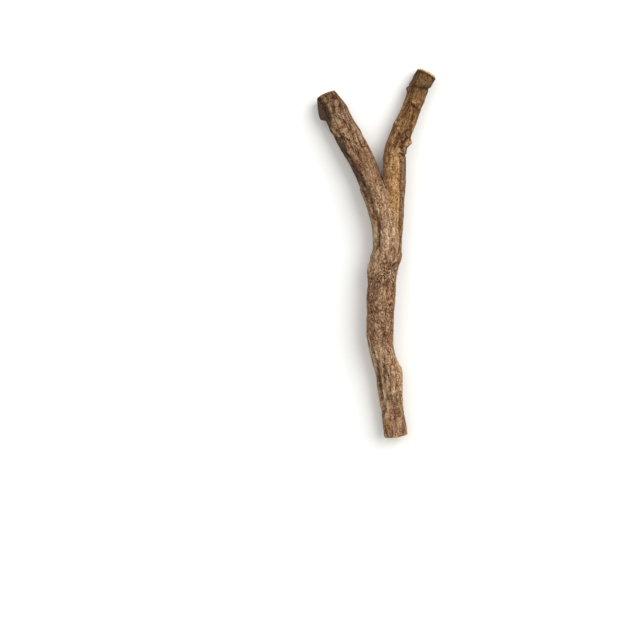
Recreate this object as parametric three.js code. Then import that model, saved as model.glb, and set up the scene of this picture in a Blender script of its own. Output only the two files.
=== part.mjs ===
// A forked licorice root, dug, cut to stick length and dried, lying on its side on a flat surface.
// A trunk about 14 mm thick parts into a left branch, which carries on its line, and a thinner right
// branch, which grows out of its side. The root grew as one piece, so it is one closed solid: bark
// with furrows, joints, scars and knots, and three cut ends. Millimetres, +Z up, +Y from foot to tips.
import * as THREE from "three";

const { clamp, lerp, smoothstep, degToRad } = THREE.MathUtils;

// Each limb's centreline and radius, [x, y, z, radius]. The trunk and the left branch are one limb,
// and the right branch starts inside the trunk. Both run on past their cuts, so that the skin does not
// round off before them.
const MAIN_LIMB = [
  [0.6, -6, 6.0, 5.6],
  [-0.2, 3.5, 6.2, 5.75],
  [-1.8, 13.5, 6.6, 5.45],
  [-2.9, 24, 7.3, 5.85],
  [-3.9, 33, 8.0, 6.15],
  [-6.0, 39.5, 8.6, 5.85],
  [-7.5, 46.5, 9.0, 6.25],
  [-8.0, 57, 9.4, 6.85],
  [-7.2, 71, 9.7, 7.05],
  [-6.7, 82.5, 9.7, 6.9],
  [-5.5, 93.5, 9.5, 6.0],
  [-6.1, 105, 9.3, 5.75],
  [-9.3, 117.5, 9.3, 5.75],
  [-13.2, 129, 9.1, 5.9],
  [-18.1, 140.5, 8.5, 6.2],
  [-23.5, 150.5, 7.8, 6.3],
  [-28.5, 159.5, 7.1, 6.15],
  [-31.8, 168.5, 6.7, 6.1],
  [-34.6, 178, 6.6, 6.0],
];
const SIDE_LIMB = [
  [-2.6, 83, 8.6, 3.0],
  [-1.3, 90, 8.7, 3.7],
  [-1.1, 98.5, 8.6, 3.85],
  [-0.5, 110, 8.5, 4.2],
  [-0.3, 121, 8.5, 4.95],
  [-0.7, 133, 8.5, 5.75],
  [-0.2, 143, 8.0, 5.4],
  [2.2, 150, 7.4, 5.2],
  [5.6, 158.5, 6.5, 4.85],
  [8.9, 167, 5.8, 4.6],
  [12.2, 175.5, 5.4, 4.75],
  [16.2, 182.3, 5.3, 4.6],
  [21, 190, 5.3, 4.6],
];

// The fillet between the limbs is small in the crotch, and fills the valley where they have fused.
const CROTCH_FILLET = 1.8;
const FUSED_FILLET = { size: 4.2, y: 111, reach: 7 };

// The three cuts, with the height of each on the limb's centreline and the way its face looks.
const FOOT_CUT = { y: 0.4, look: [0.13, -1, -0.1] };
const LEFT_CUT = { y: 171.3, look: [-0.3, 0.94, -0.12] };
const RIGHT_CUT = { y: 182.1, look: [0.46, 0.88, 0.1] };
const LEFT_BEVEL = { point: [-28, 169.6], look: [0.74, 0.67, 0] };
const CUT_DISH = 0.35;
const RIM_WEAR = 0.07;

// How finely the skin is divided: facets round the trunk, facets over the crotch, the spacing of the
// rings, and points along a centreline. The trunk's last ring lies this far below the crotch, and each
// branch's first ring this far above it.
const AROUND = 44;
const OVER_CROTCH = 12;
const RING_STEP = 1.9;
const SAMPLES = 180;
const CROTCH_DROP = 2.6;
const CROTCH_CLEARANCE = 1.2;

// The root rests on three low points: under the foot and under each tip. Each is worn flat this deep.
const REST_FLAT = 0.36;
const REST_ZONES = [
  { limb: "trunk", from: 2, to: 18 },
  { limb: "left", from: 155, to: 166 },
  { limb: "right", from: 168, to: 180 },
];

const BARK = new THREE.MeshStandardMaterial({ color: "#8c6c51", roughness: 0.95, metalness: 0 });

const bell = (x, centre, width) => Math.exp(-(((x - centre) / width) ** 2));
const curveThrough = (points) => new THREE.CatmullRomCurve3(points);

// Points and radii taken evenly along a limb, with smooth curves through its rows.
function sampleLimb(rows) {
  const path = curveThrough(rows.map(([x, y, z]) => new THREE.Vector3(x, y, z)));
  const girth = curveThrough(rows.map((row) => new THREE.Vector3(row[3], 0, 0)));
  return Array.from({ length: SAMPLES + 1 }, (_, i) => ({
    point: path.getPoint(i / SAMPLES),
    radius: girth.getPoint(i / SAMPLES).x,
  }));
}

const main = sampleLimb(MAIN_LIMB);
const side = sampleLimb(SIDE_LIMB);

// The limb's centre, radius and direction where its centreline is at height y of the drawing.
function limbAt(limb, y) {
  const last = limb.length - 2;
  const i = clamp(limb.findIndex((s) => s.point.y > y) - 1, 0, last);
  const [a, b] = [limb[i], limb[i + 1]];
  const share = clamp((y - a.point.y) / (b.point.y - a.point.y), 0, 1);
  return {
    centre: a.point.clone().lerp(b.point, share),
    radius: lerp(a.radius, b.radius, share),
    along: b.point.clone().sub(a.point).normalize(),
  };
}

// Distance from a point to a limb's skin, less than zero inside it.
function limbDistance(limb, p) {
  let nearest = Infinity;
  for (let i = 0; i + 1 < limb.length; i++) {
    const [a, b] = [limb[i].point, limb[i + 1].point];
    const [dx, dy, dz] = [b.x - a.x, b.y - a.y, b.z - a.z];
    const [px, py, pz] = [p.x - a.x, p.y - a.y, p.z - a.z];
    const t = clamp((px * dx + py * dy + pz * dz) / (dx * dx + dy * dy + dz * dz), 0, 1);
    const away = Math.hypot(px - dx * t, py - dy * t, pz - dz * t);
    nearest = Math.min(nearest, away - lerp(limb[i].radius, limb[i + 1].radius, t));
  }
  return nearest;
}

// Distance to both limbs, with a fillet where they meet.
function skinDistance(p) {
  const [a, b] = [limbDistance(main, p), limbDistance(side, p)];
  const fillet = CROTCH_FILLET + FUSED_FILLET.size * bell(p.y, FUSED_FILLET.y, FUSED_FILLET.reach);
  const share = Math.max(fillet - Math.abs(a - b), 0) / fillet;
  return Math.min(a, b) - (share * share * fillet) / 4;
}

// The point where a line from inside the root leaves its skin.
function castToSkin(from, direction) {
  let reach = 0.5;
  for (let i = 0; i < 60; i++) {
    const left = skinDistance(from.clone().addScaledVector(direction, reach));
    reach -= left;
    if (Math.abs(left) < 1e-4) break;
  }
  return from.clone().addScaledVector(direction, reach);
}

// The way that the skin faces at a point, from small steps of the distance.
function skinNormal(p) {
  const step = 0.05;
  const slope = ["x", "y", "z"].map((axis) => {
    const [ahead, behind] = [p.clone(), p.clone()];
    ahead[axis] += step;
    behind[axis] -= step;
    return skinDistance(ahead) - skinDistance(behind);
  });
  return new THREE.Vector3(...slope).normalize();
}

// A point near the skin moved onto it.
function pullToSkin(p) {
  const onSkin = p.clone();
  for (let i = 0; i < 4; i++) onSkin.addScaledVector(skinNormal(onSkin), -skinDistance(onSkin));
  return onSkin;
}

// A repeatable number from 0 to 1 for each lattice corner.
function hash(i, j, seed) {
  const n = Math.sin(i * 127.1 + j * 311.7 + seed * 74.7) * 43758.5453;
  return n - Math.floor(n);
}

// Smooth noise from -1 to 1 on a tube, with a whole number of cells round it.
function tubeNoise(turn, cells, along, seed) {
  const u = (turn - Math.floor(turn)) * cells;
  const [i, j] = [Math.floor(u), Math.floor(along)];
  const [fu, fv] = [smoothstep(u - i, 0, 1), smoothstep(along - j, 0, 1)];
  const corner = (a, b) => hash(a % cells, b, seed);
  const low = lerp(corner(i, j), corner(i + 1, j), fu);
  const high = lerp(corner(i, j + 1), corner(i + 1, j + 1), fu);
  return 2 * lerp(low, high, fv) - 1;
}

const angleGap = (a, b) => Math.abs(((a - b + 540) % 360) - 180);
const sector = (angle, middle, width) => Math.exp(-((angleGap(angle, middle) / width) ** 2));

// Furrows that run along the bark, as ridged noise stretched along the limb, and broad swellings.
function furrows({ angle, y, limb }) {
  const seed = { trunk: 1, left: 1, right: 5 }[limb];
  const turn = angle / 360 + 0.02 * Math.sin(y / 17);
  const coarse = 1 - 2 * Math.abs(tubeNoise(turn, 10, y / 15, seed));
  const fine = 1 - 2 * Math.abs(tubeNoise(turn, 17, y / 9, seed + 1));
  const swell = tubeNoise(turn, 4, y / 21, seed + 2);
  return 0.34 * coarse + 0.18 * fine + 0.3 * swell;
}

// Long grooves on the upper side, [x, y] points of each.
const GROOVES = [
  { depth: 0.75, width: 0.9, line: [[-8, 94], [-8.8, 107], [-11.6, 117], [-15.9, 127], [-23.8, 147.5]] },
  { depth: 0.4, width: 0.6, line: [[1.9, 96], [2.1, 108], [2.3, 122], [2.3, 138]] },
  { depth: 0.35, width: 0.6, line: [[-6.6, 24], [-7.6, 36], [-9, 42]] },
  { depth: 0.4, width: 0.7, line: [[-3.2, 14], [-4.9, 26], [-5.6, 38]] },
];

function groove({ x, y, facing }) {
  if (facing < 0) return 0;
  return GROOVES.reduce((sum, { depth, width, line }) => {
    const i = clamp(line.findIndex((p) => p[1] > y) - 1, 0, line.length - 2);
    const share = (y - line[i][1]) / (line[i + 1][1] - line[i][1]);
    const middle = lerp(line[i][0], line[i + 1][0], clamp(share, 0, 1));
    const [start, end] = [line[0][1], line.at(-1)[1]];
    const fade = smoothstep(y, start - 2, start + 2) * (1 - smoothstep(y, end - 2, end + 2));
    return sum - depth * fade * bell(x, middle, width);
  }, 0);
}

// Joints: swollen rings with a crease, shoulders where the bark steps in, and the lip of a crack.
function joints({ x, y, angle, limb, facing }) {
  let height = 0;
  if (limb === "trunk") {
    height += 0.8 * sector(angle, 0, 38) * smoothstep(y, 18, 33) * (1 - smoothstep(y, 34.4, 36.4));
    height += 0.55 * sector(angle, 180, 55) * smoothstep(y, 76, 84) * (1 - smoothstep(y, 85.4, 87.2));
    height += 0.3 * sector(angle, 180, 40) * bell(y, 90.5, 2);
    height -= 0.45 * sector(angle, 180, 60) * bell(y, 94.6, 2.4);
    height += 0.2 * sector(angle, 0, 45) * smoothstep(y, 86.4, 88) * (1 - smoothstep(y, 90, 94));
    height -= 0.5 * sector(angle, 0, 50) * bell(y, 84.5, 3);
    height -= 0.5 * bell(x, -0.6, 2.4) * bell(y, 86.3 + 0.35 * x, 0.9) * (facing > 0);
    height -= 0.4 * sector(angle, 140, 90) * bell(y, 12.6, 1.1);
    height -= 0.22 * bell(y, 76.5, 2.2) + 0.3 * sector(angle, 150, 60) * bell(y, 62, 1.2);
    height += 0.3 * sector(angle, 280, 70) * bell(y, 50, 4);
  }
  if (limb === "left") {
    height += 2.6 * sector(angle, 185, 40) * smoothstep(y, 158.2, 160) * (1 - smoothstep(y, 161.4, 175));
    height += 0.35 * bell(y, 153, 1.6) - 0.45 * bell(y, 150.6, 1.2) * sector(angle, 120, 70);
  }
  if (limb === "right") {
    const crease = 175 - 0.14 * (x - 11);
    height += 0.3 * smoothstep(y, crease, crease + 1.5) - 0.45 * bell(y, crease, 0.9);
    height += 1.3 * sector(angle, 172, 34) * bell(y, 174.6, 1.5);
    height -= 0.4 * sector(angle, 180, 50) * bell(y, 178.6, 1.8);
    const lip = 165.2 + 0.25 * Math.abs(x - 10.5);
    height += sector(angle, 55, 50) * (0.5 * bell(y, lip + 1.4, 1.5) - 0.55 * bell(y, lip - 0.7, 1.1));
    height += 0.6 * sector(angle, 12, 26) * bell(y, 147.5, 2);
  }
  return height;
}

// Knots and scars of rootlets. Each has a rim and a pit, and is set by its place as seen from above,
// or from below.
const SCARS = [
  { x: -6.6, y: 52.5, upper: true, size: 2.3, rim: 0.4, pit: 0.75 },
  { x: -3.4, y: 65.6, upper: true, size: 1.3, rim: 0.1, pit: 0.6 },
  { x: 4.1, y: 147.4, upper: true, size: 2.2, rim: 0.55, pit: 0.7 },
  { x: 2.9, y: 142.6, upper: true, size: 1.7, rim: 0.5, pit: 0.8 },
  { x: -27.3, y: 153.8, upper: true, size: 2.0, rim: 0.25, pit: 0.5 },
  { x: -3, y: 28, upper: false, size: 2.2, rim: 0.5, pit: 0.6 },
  { x: -9.5, y: 68, upper: false, size: 2.0, rim: 0.45, pit: 0.6 },
  { x: -12, y: 131, upper: false, size: 1.8, rim: 0.45, pit: 0.5 },
  { x: 3.4, y: 156, upper: false, size: 1.6, rim: 0.4, pit: 0.5 },
];

function scars({ x, y, facing }) {
  return SCARS.reduce((sum, scar) => {
    if (scar.upper !== facing > 0) return sum;
    const away = Math.hypot(x - scar.x, y - scar.y) / scar.size;
    return sum + scar.rim * bell(away, 1, 0.45) - scar.pit * bell(away, 0, 0.5);
  }, 0);
}

const relief = (place) => furrows(place) + groove(place) + joints(place) + scars(place);

// Ring frames. `along` is the ring's axis, `right` is level, and `up` completes them.
function frameOf(along) {
  const right = along.clone().cross(new THREE.Vector3(0, 0, 1)).normalize();
  return { right, up: right.clone().cross(along) };
}

const vertices = [];

function addVertex(point, centre, angle, limb, calm = 1) {
  vertices.push({ point, normal: skinNormal(point), centre, angle, limb, calm });
  return vertices.length - 1;
}

// One ring of a branch, or of the trunk, whose plane turns to the plane of a cut as it nears it.
function ringPlane(limb, y, cut) {
  const { centre, along } = limbAt(limb, y);
  const share = 1 - smoothstep(Math.abs(y - cut.y), 0, 9);
  const look = new THREE.Vector3(...cut.look).normalize();
  if (look.dot(along) < 0) look.negate();
  return { centre, ...frameOf(along.lerp(look, share).normalize()) };
}

// The neck between the limbs at height y: the point of the line between their centres that is as far
// from one limb's skin as from the other's.
function neckAt(y) {
  const [m, s] = [limbAt(main, y), limbAt(side, y)];
  let [inMain, inSide] = [m.centre, s.centre];
  for (let i = 0; i < 30; i++) {
    const half = inMain.clone().lerp(inSide, 0.5);
    if (limbDistance(main, half) < limbDistance(side, half)) inMain = half;
    else inSide = half;
  }
  return inMain;
}

// Where the limbs part: the first height at which the neck is outside the skin.
let crotchY = 105;
while (skinDistance(neckAt(crotchY)) < 0) crotchY += 0.05;
const trunkTop = crotchY - CROTCH_DROP;

// The trunk's rings. Near the crotch each is folded on an upright line, so that its left half stands
// square to the left branch and its right half to the right one.
function trunkPlane(y) {
  const joined = smoothstep(y, 88, 104);
  const [m, s] = [limbAt(main, y), limbAt(side, y)];
  const centre = m.centre.clone();
  const middle = (m.centre.x - m.radius + s.centre.x + s.radius) / 2;
  centre.x = lerp(centre.x, middle, joined);
  centre.z = lerp(centre.z, (m.centre.z + s.centre.z) / 2, joined);
  const neckShare = smoothstep(y, 106, 122);
  if (neckShare > 0) centre.lerp(neckAt(y), neckShare);
  const plain = ringPlane(main, y, FOOT_CUT);
  const upright = new THREE.Vector3(0, 1, 0);
  const straight = frameOf(upright);
  const fold = smoothstep(y, 106, trunkTop);
  const level = plain.right.clone().lerp(straight.right, joined).normalize();
  return {
    centre,
    up: plain.up.clone().lerp(straight.up, joined).normalize(),
    right: level.clone().lerp(frameOf(s.along).right, fold).normalize(),
    left: level.clone().lerp(frameOf(m.along).right, fold).normalize().negate(),
  };
}

function castRing(plane, angles, limb) {
  return angles.map((angle) => {
    const [c, s] = [Math.cos(degToRad(angle)), Math.sin(degToRad(angle))];
    const sideways = c < 0 && plane.left ? plane.left.clone().negate() : plane.right;
    const direction = sideways.clone().multiplyScalar(c).addScaledVector(plane.up, s).normalize();
    return addVertex(castToSkin(plane.centre, direction), plane.centre, angle, limb);
  });
}

const evenly = (from, to, step) => {
  const count = Math.round((to - from) / step);
  return Array.from({ length: count + 1 }, (_, i) => lerp(from, to, i / count));
};

const faces = [];

// Joins two rings with the same number of corners, the second further from the foot.
function joinRings(lower, upper) {
  lower.forEach((a, i) => {
    const next = (i + 1) % lower.length;
    faces.push([a, upper[i], upper[next]], [a, upper[next], lower[next]]);
  });
}

const joinAll = (rings) => rings.slice(1).forEach((ring, i) => joinRings(rings[i], ring));

// The trunk, from the foot's cut to just below the crotch.
const roundTrunk = Array.from({ length: AROUND }, (_, i) => (360 * i) / AROUND);
const trunkHeights = evenly(FOOT_CUT.y, trunkTop, RING_STEP);
const trunkRings = trunkHeights.map((y) => castRing(trunkPlane(y), roundTrunk, "trunk"));
joinAll(trunkRings);

// The bridge over the crotch, from the valley on the upper side to the one on the lower side.
const topPlane = trunkPlane(trunkTop);
const ahead = neckAt(crotchY).sub(topPlane.centre).normalize();
const bridge = Array.from({ length: OVER_CROTCH - 1 }, (_, i) => {
  const turn = (Math.PI * (i + 1)) / OVER_CROTCH;
  const direction = ahead.clone().multiplyScalar(Math.sin(turn));
  direction.addScaledVector(topPlane.up, Math.cos(turn)).normalize();
  return addVertex(castToSkin(topPlane.centre, direction), topPlane.centre, 90, "trunk", 0);
});
const saddle = vertices[bridge[OVER_CROTCH / 2 - 1]].point;

// A branch starts from its half of the trunk's last ring and the bridge, and ends at its cut. Its
// columns start where that ring has them and spread evenly round the branch.
function growBranch(limb, name, start, cut, middleAngle) {
  let y = start.map((v) => vertices[v].point.y).reduce((a, b) => Math.min(a, b));
  const below = (height) => {
    const { centre, along } = limbAt(limb, height);
    return saddle.clone().sub(centre).dot(along);
  };
  while (below(y) > -CROTCH_CLEARANCE) y += 0.1;
  const firstY = y;
  const firstPlane = ringPlane(limb, firstY, cut);
  const startAngles = start.map((v) => {
    const arm = vertices[v].point.clone().sub(firstPlane.centre);
    return (Math.atan2(arm.dot(firstPlane.up), arm.dot(firstPlane.right)) * 180) / Math.PI;
  });
  const evenAngles = start.map((_, i) => middleAngle + (360 * (i - AROUND / 4)) / start.length);
  const anglesAt = (height) => {
    const share = smoothstep(height, firstY, firstY + 16);
    return startAngles.map((from, i) => {
      const to = evenAngles[i];
      const gap = ((((from - to + 180) % 360) + 360) % 360) - 180;
      return to + gap * (1 - share);
    });
  };
  const heights = evenly(firstY, cut.y, RING_STEP);
  const rings = heights.map((height) => castRing(ringPlane(limb, height, cut), anglesAt(height), name));
  const between = start.map((v, i) => {
    const half = vertices[v].point.clone().lerp(vertices[rings[0][i]].point, 0.5);
    return addVertex(pullToSkin(half), firstPlane.centre, vertices[rings[0][i]].angle, name, 0.6);
  });
  joinAll([start, between, ...rings]);
  return rings.at(-1);
}

const trunkEnd = trunkRings.at(-1);
const upperValley = AROUND / 4;
const lowerValley = (3 * AROUND) / 4;
const leftStart = [...trunkEnd.slice(upperValley, lowerValley + 1), ...bridge.slice().reverse()];
const rightStart = [...trunkEnd.slice(lowerValley), ...trunkEnd.slice(0, upperValley + 1), ...bridge];
const leftEnd = growBranch(main, "left", leftStart, LEFT_CUT, 180);
const rightEnd = growBranch(side, "right", rightStart, RIGHT_CUT, 0);

// Raises each point of the skin by the relief there. The relief fades at the crotch.
vertices.forEach((v) => {
  const { x, y } = v.point;
  const calm = v.calm * (v.limb === "trunk" ? 1 : lerp(0.4, 1, smoothstep(y, saddle.y - 1, saddle.y + 6)));
  const place = { x, y, angle: (v.angle + 360) % 360, limb: v.limb, facing: v.point.z - v.centre.z };
  v.place = v.point.clone().addScaledVector(v.normal, calm * relief(place));
});

// The bevel at the left tip's inner corner.
const bevelPoint = new THREE.Vector3(...LEFT_BEVEL.point, 0);
const bevelLook = new THREE.Vector3(...LEFT_BEVEL.look).normalize();
vertices.filter((v) => v.limb === "left").forEach((v) => {
  const past = v.place.clone().sub(bevelPoint).dot(bevelLook);
  if (past > 0) v.place.addScaledVector(bevelLook, -past);
});

// A cut end. The bark is worn in at the rim, and rings shrink from there to the middle, with the wood
// dished a little.
function closeEnd(ring, cut, isFoot) {
  const look = new THREE.Vector3(...cut.look).normalize();
  const middle = ring.reduce((sum, v) => sum.add(vertices[v].place), new THREE.Vector3());
  middle.divideScalar(ring.length);
  ring.forEach((v) => vertices[v].place.lerp(middle, RIM_WEAR));
  const rings = [0.9, 0.62, 0.3].map((share, k) =>
    ring.map((v, i) => {
      const place = middle.clone().lerp(vertices[v].place, share);
      const rough = 0.1 * (hash(i, k, 9) - 0.5) * (k < 2);
      place.addScaledVector(look, -CUT_DISH * (k ? 1 : 0.35) + rough);
      vertices.push({ place, limb: "cut" });
      return vertices.length - 1;
    }),
  );
  vertices.push({ place: middle.addScaledVector(look, -CUT_DISH), limb: "cut" });
  const hub = vertices.length - 1;
  const inner = rings.at(-1);
  joinAll(isFoot ? [...rings.slice().reverse(), ring] : [ring, ...rings]);
  inner.forEach((a, i) => {
    const b = inner[(i + 1) % inner.length];
    faces.push(isFoot ? [a, b, hub] : [b, a, hub]);
  });
}
closeEnd(trunkRings[0], FOOT_CUT, true);
closeEnd(leftEnd, LEFT_CUT, false);
closeEnd(rightEnd, RIGHT_CUT, false);

// Sets the root down on its three low points, and flattens each a little where it rests.
const lowPoints = REST_ZONES.map(({ limb, from, to }) =>
  vertices
    .filter((v) => v.limb === limb && v.place.y > from && v.place.y < to)
    .reduce((low, v) => (v.place.z < low.z ? v.place : low), new THREE.Vector3(0, 0, Infinity)),
);
const ground = new THREE.Plane().setFromCoplanarPoints(...lowPoints.map((p) => p.clone()));
vertices.forEach(({ place }) => {
  const floor = -(ground.normal.x * place.x + ground.normal.y * place.y + ground.constant) / ground.normal.z;
  place.z = Math.max(place.z - floor - REST_FLAT, 0);
});

// Puts the origin under the middle of the root's box, on the surface that it rests on.
const box = new THREE.Box3().setFromPoints(vertices.map((v) => v.place));
const middle = box.getCenter(new THREE.Vector3());
const geometry = new THREE.BufferGeometry();
const positions = vertices.flatMap(({ place }) => [place.x - middle.x, place.y - middle.y, place.z]);
geometry.setAttribute("position", new THREE.Float32BufferAttribute(positions, 3));
geometry.setIndex(faces.flat());
geometry.computeVertexNormals();

const root = new THREE.Mesh(geometry, BARK);
root.name = "licorice_root";

const part = new THREE.Group();
part.add(root);

export default part;
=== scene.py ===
# A forked licorice root, cut to stick length and dried, lying on a pale table and seen from above.
import math

import bpy
import numpy as np
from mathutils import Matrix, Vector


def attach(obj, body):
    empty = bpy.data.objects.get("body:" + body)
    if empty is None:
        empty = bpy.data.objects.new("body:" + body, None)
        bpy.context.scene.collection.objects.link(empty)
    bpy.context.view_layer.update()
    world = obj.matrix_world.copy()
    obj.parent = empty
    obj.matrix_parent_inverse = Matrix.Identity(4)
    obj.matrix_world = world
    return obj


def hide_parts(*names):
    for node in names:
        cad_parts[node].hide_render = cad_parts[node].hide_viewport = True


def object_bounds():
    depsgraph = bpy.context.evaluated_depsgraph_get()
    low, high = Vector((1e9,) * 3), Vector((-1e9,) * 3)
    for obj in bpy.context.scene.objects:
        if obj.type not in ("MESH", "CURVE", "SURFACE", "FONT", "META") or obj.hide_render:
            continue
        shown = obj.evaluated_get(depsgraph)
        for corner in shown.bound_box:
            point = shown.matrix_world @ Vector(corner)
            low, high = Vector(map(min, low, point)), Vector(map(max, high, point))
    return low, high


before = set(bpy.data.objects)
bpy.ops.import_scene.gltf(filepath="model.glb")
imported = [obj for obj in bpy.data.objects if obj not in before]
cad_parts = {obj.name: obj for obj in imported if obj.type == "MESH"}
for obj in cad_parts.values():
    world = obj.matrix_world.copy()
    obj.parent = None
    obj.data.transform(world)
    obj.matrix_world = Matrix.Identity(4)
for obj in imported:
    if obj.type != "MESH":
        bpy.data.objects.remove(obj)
cad_low, cad_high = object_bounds()

# The root's skin.
# A taproot about 14 mm thick that parts into a left branch, on its line, and a thinner right branch.
# It was dug, washed, cut with shears and dried whole, so the bark has shrunk into furrows.
# Sizes are millimetres on the drawing, whose y axis runs from the foot to the tips.
# Each row is a point of a limb's centreline and its radius there.
MAIN_LIMB = [
    (0.6, -6, 6.0, 5.6),
    (-0.2, 3.5, 6.2, 5.75),
    (-1.8, 13.5, 6.6, 5.45),
    (-2.9, 24, 7.3, 5.85),
    (-3.9, 33, 8.0, 6.15),
    (-6.0, 39.5, 8.6, 5.85),
    (-7.5, 46.5, 9.0, 6.25),
    (-8.0, 57, 9.4, 6.85),
    (-7.2, 71, 9.7, 7.05),
    (-6.7, 82.5, 9.7, 6.9),
    (-5.5, 93.5, 9.5, 6.0),
    (-6.1, 105, 9.3, 5.75),
    (-9.3, 117.5, 9.3, 5.75),
    (-13.2, 129, 9.1, 5.9),
    (-18.1, 140.5, 8.5, 6.2),
    (-23.5, 150.5, 7.8, 6.3),
    (-28.5, 159.5, 7.1, 6.15),
    (-31.8, 168.5, 6.7, 6.1),
    (-34.6, 178, 6.6, 6.0),
]
SIDE_LIMB = [
    (-2.6, 83, 8.6, 3.0),
    (-1.3, 90, 8.7, 3.7),
    (-1.1, 98.5, 8.6, 3.85),
    (-0.5, 110, 8.5, 4.2),
    (-0.3, 121, 8.5, 4.95),
    (-0.7, 133, 8.5, 5.75),
    (-0.2, 143, 8.0, 5.4),
    (2.2, 150, 7.4, 5.2),
    (5.6, 158.5, 6.5, 4.85),
    (8.9, 167, 5.8, 4.6),
    (12.2, 175.5, 5.4, 4.75),
    (16.2, 182.3, 5.3, 4.6),
    (21, 190, 5.3, 4.6),
]
CROTCH_FILLET = 1.8
FUSED_FILLET, FUSED_Y, FUSED_REACH = 4.2, 111, 7
FOOT_Y, FOOT_LOOK = 0.4, (0.13, -1, -0.1)
LEFT_Y, LEFT_LOOK = 171.3, (-0.3, 0.94, -0.12)
RIGHT_Y, RIGHT_LOOK = 182.1, (0.46, 0.88, 0.1)
BEVEL_POINT, BEVEL_LOOK = (-28, 169.6, 0), (0.74, 0.67, 0)
BARK_THICKNESS = 1.0
RIM_WEAR = 0.07

# The drawing's point that lies under the middle of the CAD box, and the ground under the root on the
# drawing, as a height and its slopes along x and y.
MIDDLE = (-9.4956, 92.0086)
GROUND, GROUND_X, GROUND_Y = 0.33129, -0.0085486, -0.00010308
REST_FLAT = 0.36

# How finely the skin is divided: columns round the trunk and over the crotch, rows between a branch's
# first ring and the trunk's last one, and the spacing of rings.
AROUND = 144
OVER_CROTCH = 40
ROWS_BETWEEN = 7
RING_STEP = 0.38

# How far the trunk's last ring lies before the crotch, and how far a branch's first ring lies past it.
CROTCH_DROP = 2.0
CROTCH_CLEARANCE = 0.9

# Heights between which the crotch is looked for, over which the trunk's rings widen to hold both
# limbs, and over which their centre moves to the neck between the two.
CROTCH_Y = (105, 140)
JOINED_Y = (88, 104)
NECK_Y = (106, 122)

# Lengths over which rings turn to the plane of a cut, and a branch's columns spread evenly.
CUT_TURN = 9
COLUMN_SPREAD = 16

# Samples of a centreline, the step of its table, the step of a search, the rounds of a march and of a
# halving, and the gap below which two rows count as one point.
CURVE_SAMPLES = 1500
TABLE_STEP = 0.25
SEARCH_STEP = 0.05
MARCH_STEPS = 26
HALVINGS = 30
SAME_POINT = 1e-4
MM_PER_M = 1000


def ease(x, low, high):
    """0 below low, 1 above high, and 3t^2 - 2t^3 between them."""
    t = np.clip((x - low) / (high - low), 0, 1)
    return t * t * (3 - 2 * t)


def bell(x, centre=0.0, width=1.0):
    """exp(-((x - centre) / width)^2)"""
    return np.exp(-(((x - centre) / width) ** 2))


def unit(v):
    """Vectors divided by their lengths."""
    return v / np.linalg.norm(v, axis=-1, keepdims=True)


def curve_through(rows, count):
    """Centripetal Catmull-Rom curve: a cubic between two rows whose slopes at its ends come from the
    rows before and after, with knots spaced by the square root of the distance between rows."""
    rows = np.asarray(rows, float)
    padded = np.vstack([2 * rows[0] - rows[1], rows, 2 * rows[-1] - rows[-2]])
    t = np.linspace(0, len(rows) - 1, count)
    i = np.minimum(t.astype(int), len(rows) - 2)
    w = (t - i)[:, None]
    before, a, b, after = (padded[i + k] for k in range(4))
    pairs = ((before, a), (a, b), (b, after))
    gap = [np.sqrt(np.linalg.norm(q - p, axis=1, keepdims=True)) for p, q in pairs]
    gap[1] = np.where(gap[1] < SAME_POINT, 1, gap[1])
    gap[0] = np.where(gap[0] < SAME_POINT, gap[1], gap[0])
    gap[2] = np.where(gap[2] < SAME_POINT, gap[1], gap[2])
    slope_a = (a - before) / gap[0] - (b - before) / (gap[0] + gap[1]) + (b - a) / gap[1]
    slope_b = (b - a) / gap[1] - (after - a) / (gap[1] + gap[2]) + (after - b) / gap[2]
    slope_a, slope_b = slope_a * gap[1], slope_b * gap[1]
    square = -3 * a + 3 * b - 2 * slope_a - slope_b
    cube = 2 * a - 2 * b + slope_a + slope_b
    return a + w * (slope_a + w * (square + w * cube))


def limb_table(rows):
    """A limb at even heights: centre, radius, direction and length along the centreline."""
    rows = np.asarray(rows, float)
    path = curve_through(rows[:, :3], CURVE_SAMPLES)
    radius = curve_through(rows[:, 3:], CURVE_SAMPLES)
    heights = np.arange(path[0, 1], path[-1, 1], TABLE_STEP)
    columns = np.hstack([path, radius])
    even = np.stack([np.interp(heights, path[:, 1], column) for column in columns.T], axis=1)
    along = unit(np.gradient(even[:, :3], axis=0))
    length = np.concatenate([[0], np.cumsum(np.linalg.norm(np.diff(even[:, :3], axis=0), axis=1))])
    return heights[0], np.hstack([even, along, length[:, None]])


main, side = limb_table(MAIN_LIMB), limb_table(SIDE_LIMB)


def at_height(limb, y):
    """Straight blend of the table's two rows nearest to each height y."""
    low, table = limb
    u = np.clip((np.asarray(y, float) - low) / TABLE_STEP, 0, len(table) - 1.001)
    i = u.astype(int)
    share = (u - i)[..., None]
    row = table[i] * (1 - share) + table[i + 1] * share
    return row[..., :3], row[..., 3], unit(row[..., 4:7]), row[..., 7]


def nearest_on(limb, p):
    """The limb's row at the centreline's nearest point to p, which is found by stepping the height by
    the part of the offset that lies along the centreline, three times."""
    y = p[..., 1]
    for _ in range(3):
        centre, _, along, _ = at_height(limb, y)
        y = y + np.sum((p - centre) * along, axis=-1) * along[..., 1]
    return at_height(limb, y)


def limb_distance(limb, p):
    """Distance to the nearest point of the centreline, less the radius there."""
    centre, radius, _, _ = nearest_on(limb, p)
    return np.linalg.norm(p - centre, axis=-1) - radius


def skin_distance(p):
    """The smaller of both limbs' distances, less (1 - difference / fillet)^2 * fillet / 4."""
    a, b = limb_distance(main, p), limb_distance(side, p)
    fillet = CROTCH_FILLET + FUSED_FILLET * bell(p[..., 1], FUSED_Y, FUSED_REACH)
    share = np.maximum(fillet - np.abs(a - b), 0) / fillet
    return np.minimum(a, b) - share * share * fillet / 4


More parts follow.
